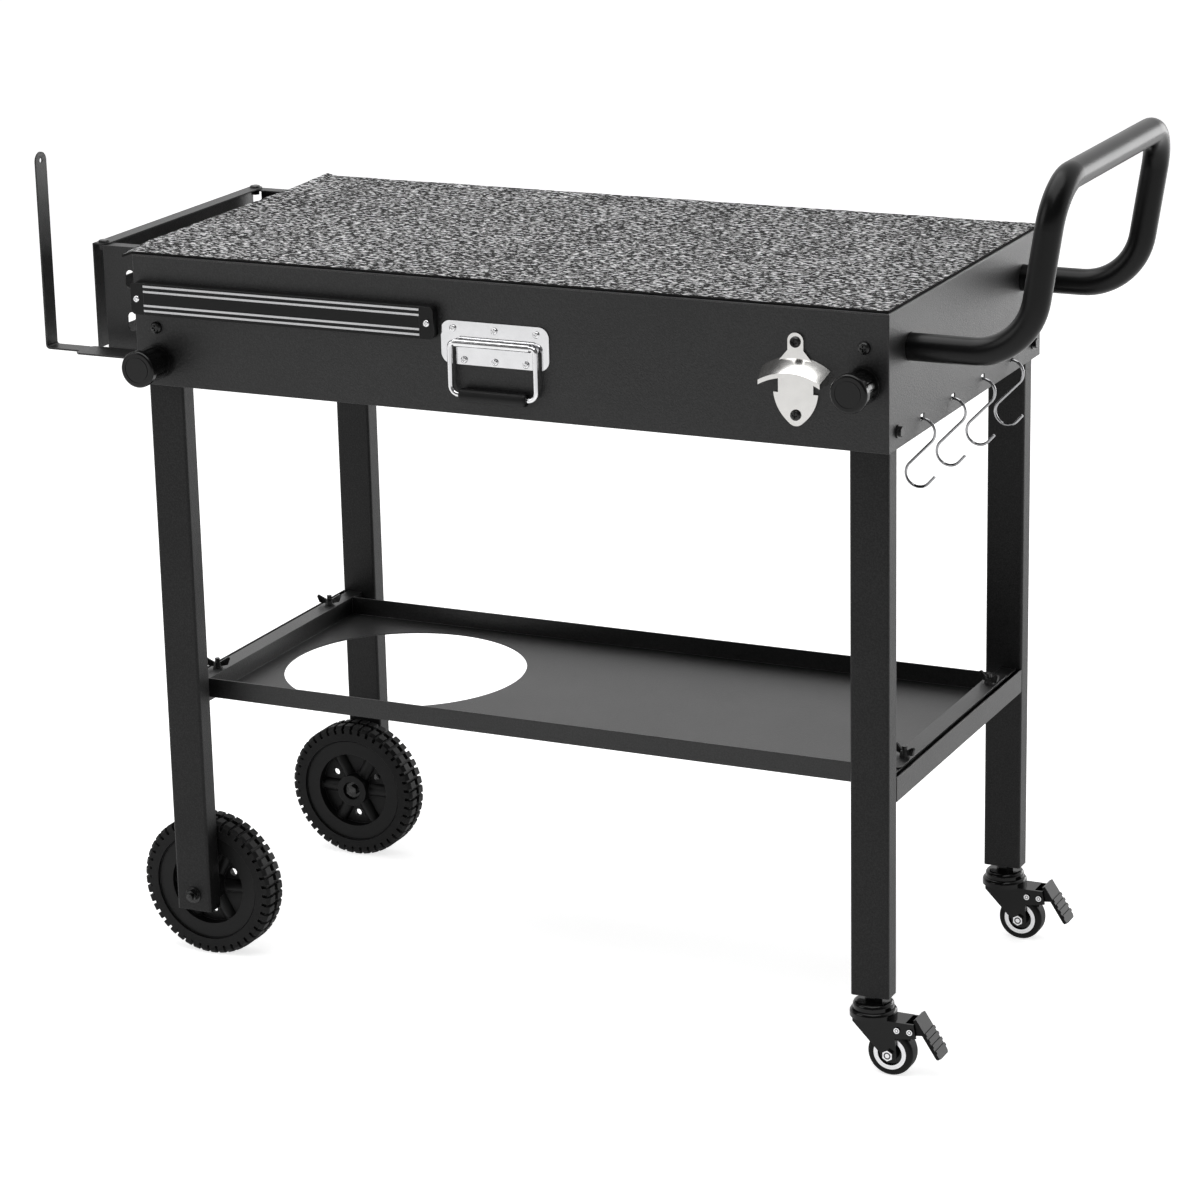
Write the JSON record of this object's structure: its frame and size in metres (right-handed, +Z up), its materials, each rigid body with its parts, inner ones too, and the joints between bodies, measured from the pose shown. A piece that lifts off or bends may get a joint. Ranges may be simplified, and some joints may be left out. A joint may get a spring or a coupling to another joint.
{
  "type": "folding grill cart",
  "caption": "Folding sheet steel table cart on tube legs with wheels and braked casters, shelf tray for a gas bottle, push handle, bag frame, knife bar, bottle opener and tool hooks",
  "frame": {"origin": "on the floor under the middle of the whole cart's bounding box", "axes": "X along the table towards the push handle, Y towards the back, Z up"},
  "size_m": [1.221, 0.5376, 1.013],
  "materials": {
    "powder_black": "fine sand-textured black powder coat",
    "felt": "mottled grey and black fibre felt",
    "satin_black_tube": "satin black painted tube",
    "black_zinc": "black plated steel fasteners",
    "bar_plastic": "black moulded plastic",
    "bright_strip": "bright drawn steel",
    "chrome": "polished chrome plate",
    "grip_plastic": "smooth black sleeve",
    "bright_nickel": "bright nickel on a cast body",
    "wheel_rubber": "matte black moulded tread",
    "wheel_plastic": "matte black moulded plastic",
    "caster_black": "glossy black enamel",
    "caster_rubber": "smooth black rubber",
    "caster_core": "bright plated core",
    "knob_gloss": "glossy black plastic"
  },
  "bodies": {
    "cart": {"top_sheet": "powder_black", "front_panel": "powder_black", "back_panel": "powder_black", "left_end_panel": "powder_black", "right_end_panel": "powder_black", "front_left_leg": "powder_black", "back_left_leg": "powder_black", "front_right_leg": "powder_black", "back_right_leg": "powder_black", "left_cross_member": "powder_black", "right_cross_member": "powder_black", "shelf_tray": "powder_black", "leg_brackets": "powder_black", "handle_sleeves": "powder_black", "paper_towel_bar": "powder_black", "felt_mat": "felt", "push_handle": "satin_black_tube", "leg_pivot_bolts": "black_zinc", "lock_nuts": "black_zinc", "end_panel_bolts": "black_zinc", "shelf_bolts": "black_zinc", "wing_nuts": "black_zinc", "opener_screws": "black_zinc", "wheel_axle_bolts": "black_zinc", "lock_barrels": "black_zinc", "knife_bar_body": "bar_plastic", "knife_bar_caps": "bar_plastic", "knife_bar_strips": "bright_strip", "left_lock_spring": "bright_strip", "right_lock_spring": "bright_strip", "bright_screws": "chrome", "chest_handle_plate": "chrome", "bottle_opener": "bright_nickel", "caster_stems": "caster_black"},
    "front_wheel": {"front_wheel_tyre": "wheel_rubber", "front_wheel_rim": "wheel_plastic"},
    "back_wheel": {"back_wheel_tyre": "wheel_rubber", "back_wheel_rim": "wheel_plastic"},
    "front_caster": {"front_caster_fork": "caster_black"},
    "back_caster": {"back_caster_fork": "caster_black"},
    "front_caster_wheel": {"front_caster_tyre": "caster_rubber", "front_caster_core": "caster_core"},
    "back_caster_wheel": {"back_caster_tyre": "caster_rubber", "back_caster_core": "caster_core"},
    "front_brake": {"front_caster_pedal": "caster_black"},
    "back_brake": {"back_caster_pedal": "caster_black"},
    "bail": {"chest_handle_bail": "chrome", "chest_handle_grip": "grip_plastic"},
    "left_pin": {"left_lock_pin": "bright_strip"},
    "right_pin": {"right_lock_pin": "bright_strip"},
    "left_knob": {"left_lock_knob": "knob_gloss"},
    "right_knob": {"right_lock_knob": "knob_gloss"},
    "hook_1": {"s_hook_1": "chrome"},
    "hook_2": {"s_hook_2": "chrome"},
    "hook_3": {"s_hook_3": "chrome"},
    "hook_4": {"s_hook_4": "chrome"},
    "bag_front": {"bag_front_arm": "powder_black"},
    "bag_back": {"bag_back_arm": "powder_black"},
    "bag_panel": {"bag_outer_panel": "powder_black", "bag_corner_bolts": "black_zinc"}
  },
  "joints": [
    {"name": "front_wheel_spin", "type": "hinge", "parent": "cart", "child": "front_wheel", "pos_m": [-0.451, -0.16055, 0.086], "axis": [0, 1, 0], "continuous": true},
    {"name": "back_wheel_spin", "type": "hinge", "parent": "cart", "child": "back_wheel", "pos_m": [-0.451, 0.20305, 0.086], "axis": [0, 1, 0], "continuous": true},
    {"name": "front_caster_swivel", "type": "hinge", "parent": "cart", "child": "front_caster", "pos_m": [0.409, -0.19605, 0.07], "axis": [0, 0, 1], "continuous": true},
    {"name": "front_caster_spin", "type": "hinge", "parent": "front_caster", "child": "front_caster_wheel", "pos_m": [0.432, -0.19605, 0.0265], "axis": [0, 1, 0], "continuous": true},
    {"name": "front_brake_press", "type": "hinge", "parent": "front_caster", "child": "front_brake", "pos_m": [0.457, -0.19605, 0.057], "axis": [0, 1, 0], "range_deg": [0, 20]},
    {"name": "back_caster_swivel", "type": "hinge", "parent": "cart", "child": "back_caster", "pos_m": [0.409, 0.23855, 0.07], "axis": [0, 0, 1], "continuous": true},
    {"name": "back_caster_spin", "type": "hinge", "parent": "back_caster", "child": "back_caster_wheel", "pos_m": [0.432, 0.23855, 0.0265], "axis": [0, 1, 0], "continuous": true},
    {"name": "back_brake_press", "type": "hinge", "parent": "back_caster", "child": "back_brake", "pos_m": [0.457, 0.23855, 0.057], "axis": [0, 1, 0], "range_deg": [0, 20]},
    {"name": "bail_swing", "type": "hinge", "parent": "cart", "child": "bail", "pos_m": [-0.021, -0.22975, 0.794], "axis": [-1, 0, 0], "range_deg": [0, 90]},
    {"name": "left_lock_pull", "type": "slide", "parent": "cart", "child": "left_pin", "axis": [0, -1, 0], "range_m": [0, 0.009], "stiffness_N_per_m": 900, "springref_m": -0.012, "deforming": ["left_lock_spring"]},
    {"name": "left_knob_turn", "type": "hinge", "parent": "left_pin", "child": "left_knob", "pos_m": [-0.451, -0.25175, 0.74], "axis": [0, -1, 0], "continuous": true},
    {"name": "right_lock_pull", "type": "slide", "parent": "cart", "child": "right_pin", "axis": [0, -1, 0], "range_m": [0, 0.009], "stiffness_N_per_m": 900, "springref_m": -0.012, "deforming": ["right_lock_spring"]},
    {"name": "right_knob_turn", "type": "hinge", "parent": "right_pin", "child": "right_knob", "pos_m": [0.409, -0.25175, 0.785], "axis": [0, -1, 0], "continuous": true},
    {"name": "hook_1_swing", "type": "hinge", "parent": "cart", "child": "hook_1", "pos_m": [0.43575, -0.122, 0.7275], "axis": [1, 0, 0], "range_deg": [-25, 25]},
    {"name": "hook_2_swing", "type": "hinge", "parent": "cart", "child": "hook_2", "pos_m": [0.43575, -0.0265, 0.7275], "axis": [1, 0, 0], "range_deg": [-25, 25]},
    {"name": "hook_3_swing", "type": "hinge", "parent": "cart", "child": "hook_3", "pos_m": [0.43575, 0.069, 0.7275], "axis": [1, 0, 0], "range_deg": [-25, 25]},
    {"name": "hook_4_swing", "type": "hinge", "parent": "cart", "child": "hook_4", "pos_m": [0.43575, 0.1645, 0.7275], "axis": [1, 0, 0], "range_deg": [-25, 25]},
    {"name": "bag_fold", "type": "hinge", "parent": "cart", "child": "bag_front", "pos_m": [-0.488, -0.15375, 0.855], "axis": [0, 0, -1], "range_deg": [0, 75]},
    {"name": "bag_back_fold", "type": "hinge", "parent": "cart", "child": "bag_back", "pos_m": [-0.488, 0.19625, 0.855], "axis": [0, 0, -1], "range_deg": [0, 75]},
    {"name": "bag_panel_fold", "type": "hinge", "parent": "bag_front", "child": "bag_panel", "pos_m": [-0.558, -0.15375, 0.856], "axis": [0, 0, -1], "range_deg": [-75, 0]}
  ],
  "couplings": [
    {"joint": "bag_back_fold", "follows": "bag_fold", "ratio": 1},
    {"joint": "bag_panel_fold", "follows": "bag_fold", "ratio": -1}
  ]
}
